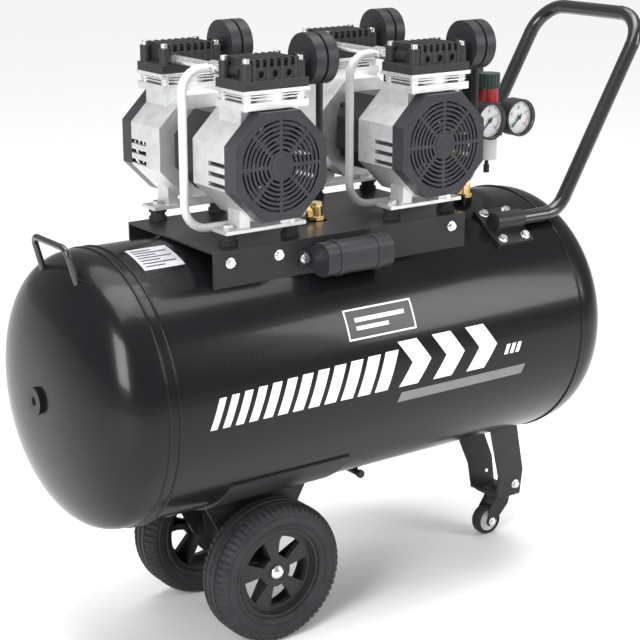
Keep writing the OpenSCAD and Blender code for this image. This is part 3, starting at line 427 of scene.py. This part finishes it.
def make_tyre(name, node, body):
    low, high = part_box(node)
    middle = (low + high) / 2
    ring = [(r, y, c) for r, y, c in half_profile] + [(r, -y, c) for r, y, c in reversed(half_profile)]
    steps = blocks * steps_per_block
    points = []
    for i in range(steps):
        for r, y, c in ring:
            # the two shoulders are half a block out of step
            phase = i % steps_per_block if y > 0 else (i + steps_per_block // 2) % steps_per_block
            cut = block_cut * c if phase < gap_steps else 0
            turn = 2 * math.pi * i / steps
            side = y - math.copysign(cut * side_share, y)
            points.append(middle + Vector(((r - cut) * math.cos(turn), side, (r - cut) * math.sin(turn))))
    n = len(ring)
    faces = [(i * n + k, i * n + (k + 1) % n, (i + 1) % steps * n + (k + 1) % n, (i + 1) % steps * n + k)
             for i in range(steps) for k in range(n)]
    mesh = mesh_from(name, points, faces, smooth=True)
    mesh.set_sharp_from_angle(angle=math.radians(35))
    mesh.materials.append(tyre_rubber)
    tyre = new_object(name, mesh)
    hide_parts(node)
    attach(tyre, body)
    print(name, "faces:", len(mesh.polygons))


make_tyre("front_tyre_tread", "front_tyre", "front_wheel")
make_tyre("rear_tyre_tread", "rear_tyre", "rear_wheel")

# %% [markdown]
# ## Domed heads
# Gloss paint shows every facet, and the two pressed heads are the largest curved surfaces here.
# So each head is turned again on a fine grid. The outline is a power curve: both the way out
# and the way round are raised to the same exponent, which makes the shoulder squarer than an
# ellipse. The inner surface is turned too, so the sheet has its real thickness.

# %% Turn both heads
shell_low, shell_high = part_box("tank_shell")
axis_z = (shell_low.z + shell_high.z) / 2
shell_radius = 195 * mm
dome_depth = 90 * mm
dome_power = 2.5
sheet = 3 * mm
skin_gap = 0.02 * mm
rings = 72
around = 192
boss_hole = 18.9 * mm
print("seams at x", round(shell_low.x, 3), "and", round(shell_high.x, 3), "m")


def dome_line(radius, depth, hole):
    # from the middle of the dome to its rim: distance from the axis, distance from the seam
    line = []
    for i in range(rings + 1):
        a = math.pi / 2 * i / rings
        line.append((max(hole, radius * math.sin(a) ** (2 / dome_power)),
                     depth * max(0.0, math.cos(a)) ** (2 / dome_power)))
    return line


def turn_head(name, seam, outward, hole):
    outer = dome_line(shell_radius - skin_gap, dome_depth - skin_gap, hole)
    inner = dome_line(shell_radius - 2 * sheet, dome_depth - sheet, hole)
    line = outer + [(shell_radius - sheet, 0), (shell_radius - 2 * sheet, 0)] + inner[::-1]
    points, faces = [], []
    for i in range(around):
        turn = 2 * math.pi * i / around
        for r, out in line:
            points.append(Vector((seam + outward * out, r * math.cos(turn), axis_z + r * math.sin(turn))))
    n = len(line)
    for i in range(around):
        for k in range(n):
            a, b = i * n, (i + 1) % around * n
            faces.append((a + k, a + (k + 1) % n, b + (k + 1) % n, b + k))
    mesh = mesh_from(name, points, faces, smooth=True, merge=True)
    mesh.set_sharp_from_angle(angle=math.radians(40))
    mesh.materials.append(tank_black)
    head = new_object(name, mesh)
    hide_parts("tank_heads")
    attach(head, "compressor")
    print(name, "faces:", len(mesh.polygons))


turn_head("left_head_turned", shell_low.x, -1, boss_hole)
turn_head("right_head_turned", shell_high.x, 1, 0.0)

# %% [markdown]
# ## Graphics on the receiver
# The receiver carries printed graphics. Here they are a generic set of our own: slanted speed
# bars that grow towards the right, three bold chevrons, a grey stripe, a small outlined plate
# and a silver rating label with blank rows. Each is a thin film that follows the round shell.
# A film is built from bands: rows that climb round the shell, each with its own left and right
# edge. The rows bend with the shell, so nothing floats or sinks.

# %% Film helper
film = 0.25 * mm
film_gap = 0.04 * mm
row_height = 3 * mm


def on_shell(x, climb, lift):
    # climb is the way up round the shell, from its foremost line
    turn = climb / shell_radius
    out = shell_radius + lift
    return Vector((x, -out * math.cos(turn), axis_z + out * math.sin(turn)))


def make_film(name, bands, made, lift=0.0):
    points, faces = [], []
    for left, right, low, high in bands:
        rows = max(2, int((high - low) / row_height) + 1)
        first = len(points)
        for i in range(rows):
            climb = low + (high - low) * i / (rows - 1)
            for depth in (lift + film_gap, lift + film_gap + film):
                points += [on_shell(left(climb), climb, depth), on_shell(right(climb), climb, depth)]
        for i in range(rows - 1):
            a, b = first + 4 * i, first + 4 * (i + 1)
            faces += [(a + 2, a + 3, b + 3, b + 2), (a + 1, a, b, b + 1), (a, a + 2, b + 2, b),
                      (a + 3, a + 1, b + 1, b + 3)]
        end = first + 4 * (rows - 1)
        faces += [(first, first + 1, first + 3, first + 2), (end + 1, end, end + 2, end + 3)]
    mesh = mesh_from(name, points, faces)
    mesh.materials.append(made)
    piece = new_object(name, mesh)
    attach(piece, "compressor")
    print(name, "bands:", len(bands))
    return piece


def slanted(x, width, low, high, lean=0):
    return (lambda c: x + lean * (c - low), lambda c: x + width + lean * (c - low), low, high)


def half_chevron(x, width, tip, flat, low, high):
    # a band whose edges run from x at the height called flat to x + point_in at the tip
    def run(c):
        return x + point_in * (c - flat) / (tip - flat)
    return (run, lambda c: run(c) + width, low, high)


# %% Print the speed bars, chevrons, stripe and plate
ink_white = finish("ink_white", (0.86, 0.86, 0.86), 0.35, drift=0.03, patch=0.02, grain=0.0006, bump=0.03)
ink_grey = finish("ink_grey", (0.16, 0.16, 0.165), 0.35, drift=0.06, patch=0.02, grain=0.0006, bump=0.03)
ink_silver = finish("ink_silver", (0.62, 0.62, 0.66), 0.33, metal=0.5, drift=0.08, patch=0.01,
                    grain=0.0006, bump=0.04)
ink_dark = finish("ink_dark", (0.03, 0.03, 0.035), 0.4, drift=0.05, patch=0.01, grain=0.0006, bump=0.03)

lean = 0.38
bar_gap = 0.0085
foot, middle, top = -0.018, 0.015, 0.048
bars = []
x = -0.352
for i in range(12):
    width = 0.0105 + 0.0011 * i
    bars.append(slanted(x, width, foot, 0.024 + 0.0012 * i, lean))
    x += width + bar_gap
print("bars end at x", round(x, 3))
stripe_x = x + 0.012
point_in = 0.024
chevrons = []
for i in range(3):
    left = stripe_x + 0.062 * i
    chevrons.append(half_chevron(left, 0.034, middle, foot, foot, middle))
    chevrons.append(half_chevron(left, 0.034, middle, top, middle, top))
make_film("speed_bars", bars + chevrons, ink_white)
make_film("grey_stripe", [slanted(stripe_x, 0.235, -0.042, -0.027, lean)], ink_grey)
make_film("stripe_bars", [slanted(stripe_x + 0.196 + 0.011 * i, 0.007, -0.005, 0.010, lean)
                          for i in range(3)], ink_white)

# %% Print the outlined plate and the rating label
plate_x, plate_w, plate_low, plate_high = -0.120, 0.118, 0.062, 0.106
edge_w = 0.0024
make_film("plate_field", [slanted(plate_x, plate_w, plate_low, plate_high)], ink_dark)
make_film("plate_outline", [
    slanted(plate_x, plate_w, plate_low, plate_low + edge_w),
    slanted(plate_x, plate_w, plate_high - edge_w, plate_high),
    slanted(plate_x, edge_w, plate_low + edge_w, plate_high - edge_w),
    slanted(plate_x + plate_w - edge_w, edge_w, plate_low + edge_w, plate_high - edge_w),
    slanted(plate_x + 0.016, plate_w - 0.032, plate_low + 0.0245, plate_low + 0.0305),
    slanted(plate_x + 0.016, plate_w - 0.062, plate_low + 0.0130, plate_low + 0.0185),
], ink_white, lift=film)
label_x, label_w = -0.378, 0.062
label_low, label_high = shell_radius * math.radians(66), shell_radius * math.radians(83)
make_film("rating_label", [slanted(label_x, label_w, label_low, label_high)], ink_silver)
make_film("rating_rows", [slanted(label_x + 0.005, 0.030 + 0.020 * (i % 2), label_low + 0.006 + 0.007 * i,
                                  label_low + 0.0085 + 0.007 * i) for i in range(7)],
          ink_dark, lift=film)

# %% [markdown]
# ## Gauge dials
# Each gauge has a white dial with a scale from 0 to 16, a red arc over its top end, and a black
# needle that CAD supplies. The scale is three quarters of a turn. Ticks and arcs are thin raised
# shapes, and the numbers are plain sans text turned into mesh.

# %% Dial helper
dial_white = finish("dial_white", (0.88, 0.88, 0.89), 0.4, drift=0.01, patch=0.01, grain=0.0005, bump=0.02)
dial_black = finish("dial_black", (0.02, 0.02, 0.02), 0.45, drift=0.05, patch=0.01, grain=0.0005, bump=0.02)
dial_red = finish("dial_red", (0.60, 0.03, 0.03), 0.4, drift=0.05, patch=0.01, grain=0.0005, bump=0.02)
lens_low, lens_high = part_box("gauge_lenses")
dial_radius = (lens_high.z - lens_low.z) / 2 - 0.6 * mm
dial_seat = 7.9 * mm
card_thick = 0.5 * mm
ink_thick = 0.12 * mm
scale_start = -135
scale_sweep = 270
red_start = 85
scale_top = 16
number_step = 4
ticks = 32


def dial_arc(points, faces, centre, r_in, r_out, start, stop, back, thick, steps):
    # angles run clockwise as the reader sees them, from straight up
    first = len(points)
    for i in range(steps + 1):
        turn = math.radians(start + (stop - start) * i / steps)
        for r in (r_in, r_out):
            for depth in (back, back - thick):
                points.append(centre + Vector((r * math.sin(turn), depth, r * math.cos(turn))))
    for i in range(steps):
        a, b = first + 4 * i, first + 4 * (i + 1)
        faces += [(a + 1, a + 3, b + 3, b + 1), (a, b, b + 2, a + 2), (a, a + 1, b + 1, b),
                  (a + 2, b + 2, b + 3, a + 3)]
    end = first + 4 * steps
    faces += [(first, first + 2, first + 3, first + 1), (end, end + 1, end + 3, end + 2)]


def dial_number(text, centre, at, size, depth):
    curve = bpy.data.curves.new("number", "FONT")
    curve.body = text
    curve.size = size
    curve.align_x = "CENTER"
    curve.align_y = "CENTER"
    curve.extrude = 0.08 * mm
    holder = new_object("number", curve)
    bpy.context.view_layer.update()
    made = bpy.data.meshes.new_from_object(holder.evaluated_get(bpy.context.evaluated_depsgraph_get()))
    made.transform(Matrix.Translation(centre + Vector((at[0], depth, at[1])))
                   @ Matrix.Rotation(math.pi / 2, 4, "X"))
    bpy.data.objects.remove(holder)
    return made


def make_dial(side):
    centre = Vector(joints[side + "_gauge_needle"]["pos_m"])
    points, faces = [], []
    dial_arc(points, faces, centre, 0.0012, dial_radius, 0, 360, dial_seat, card_thick, 72)
    card = new_object(side + "_dial", mesh_from(side + "_dial", points, faces))
    card.data.materials.append(dial_white)
    face = dial_seat - card_thick
    points, faces = [], []
    for i in range(ticks + 1):
        turn = scale_start + scale_sweep * i / ticks
        long_tick = i % number_step == 0
        r_in = dial_radius * (0.80 if long_tick else 0.87)
        half = 1.3 if long_tick else 0.7
        dial_arc(points, faces, centre, r_in, dial_radius * 0.95, turn - half, turn + half,
                 face, ink_thick, 1)
    scale_stop = scale_start + scale_sweep
    dial_arc(points, faces, centre, dial_radius * 0.95, dial_radius * 0.965, scale_start, scale_stop,
             face, ink_thick, 48)
    mesh = mesh_from(side + "_scale", points, faces)
    shape = bmesh.new()
    shape.from_mesh(mesh)
    number_ring = dial_radius * 0.60
    for i in range(0, scale_top + 1, number_step):
        turn = math.radians(scale_start + scale_sweep * i / scale_top)
        number = dial_number(str(i), centre, (number_ring * math.sin(turn), number_ring * math.cos(turn)),
                             dial_radius * 0.30, face - 0.1 * mm)
        shape.from_mesh(number)
        bpy.data.meshes.remove(number)
    shape.to_mesh(mesh)
    shape.free()
    scale = new_object(side + "_scale", mesh)
    scale.data.materials.append(dial_black)
    points, faces = [], []
    dial_arc(points, faces, centre, dial_radius * 0.70, dial_radius * 0.76, red_start, scale_stop,
             face, ink_thick, 20)
    zone = new_object(side + "_red_zone", mesh_from(side + "_red_zone", points, faces))
    zone.data.materials.append(dial_red)
    for piece, slot_name in ((card, "graphic_white"), (scale, "needle_paint"), (zone, "red_plastic")):
        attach(piece, "compressor")
    print(side, "dial", round(2000 * dial_radius), "mm, scale faces", len(mesh.polygons))


make_dial("left")
make_dial("right")
